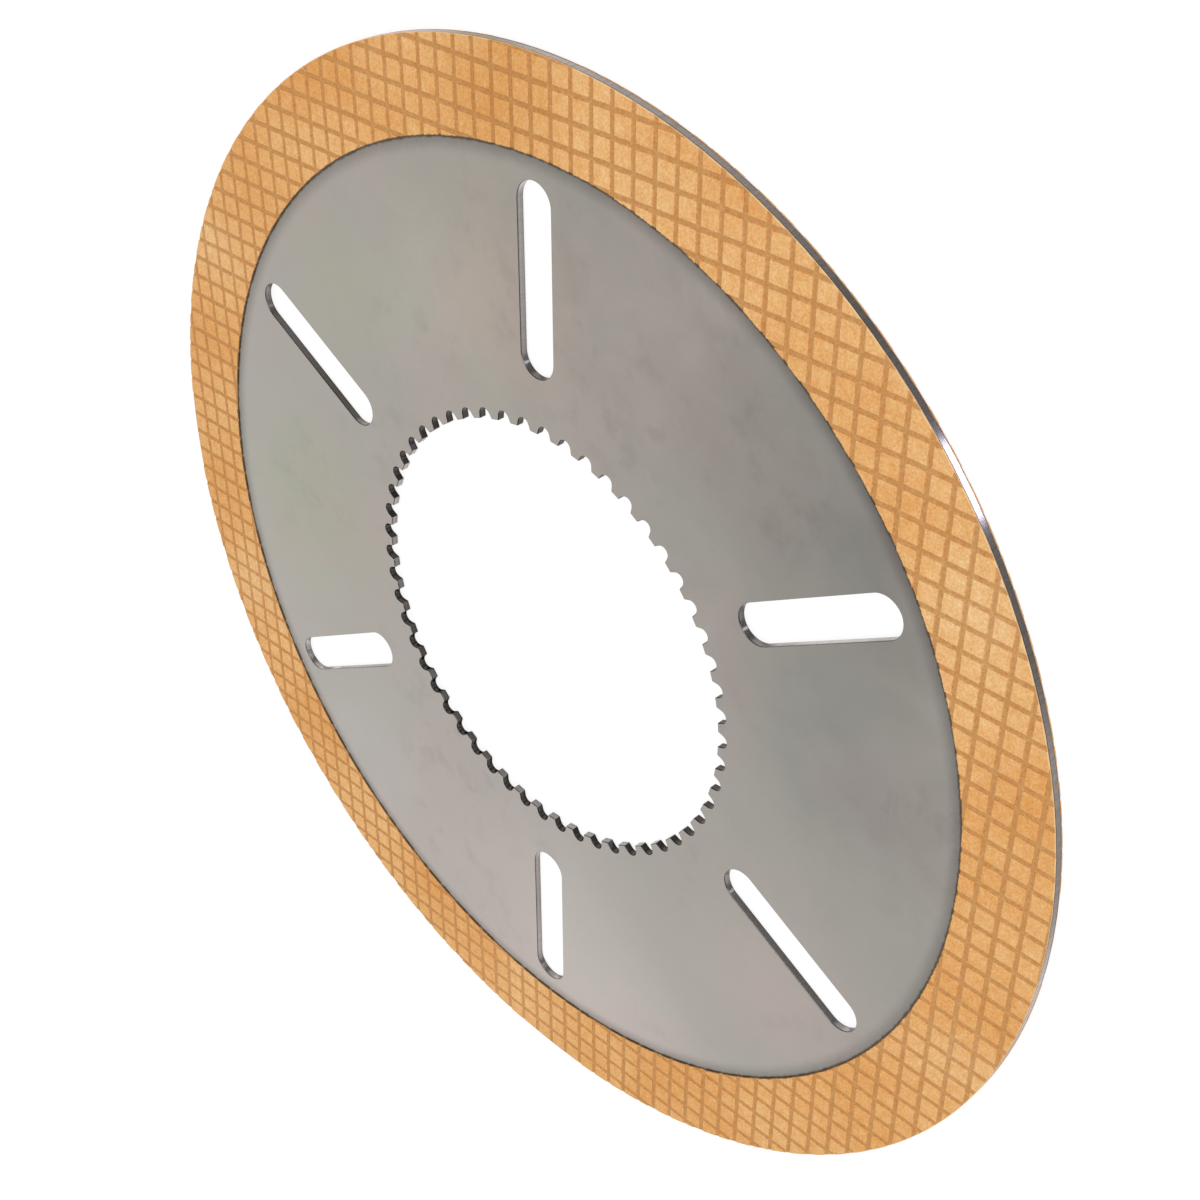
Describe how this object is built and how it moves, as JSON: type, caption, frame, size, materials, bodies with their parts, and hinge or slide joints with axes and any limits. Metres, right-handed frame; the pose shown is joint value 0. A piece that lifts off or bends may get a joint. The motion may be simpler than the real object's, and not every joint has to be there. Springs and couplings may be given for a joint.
{
  "type": "transmission brake disc",
  "caption": "Thin flat steel disc with an internally splined bore and radial slots, and a friction facing with square grooves bonded round the rim on each side.",
  "frame": {"origin": "centre of the disc's underside, on the lands of the back facing", "axes": "+Z along the disc's axis, out of the front facing; +X along the middle of one slot and along one set of grooves"},
  "size_m": [0.405, 0.405, 0.0035],
  "materials": {
    "steel": "satin, faintly clouded",
    "friction": "matt, fine speckle"
  },
  "bodies": {
    "root": {"core_plate": "steel", "front_facing": "friction", "back_facing": "friction"}
  },
  "joints": []
}
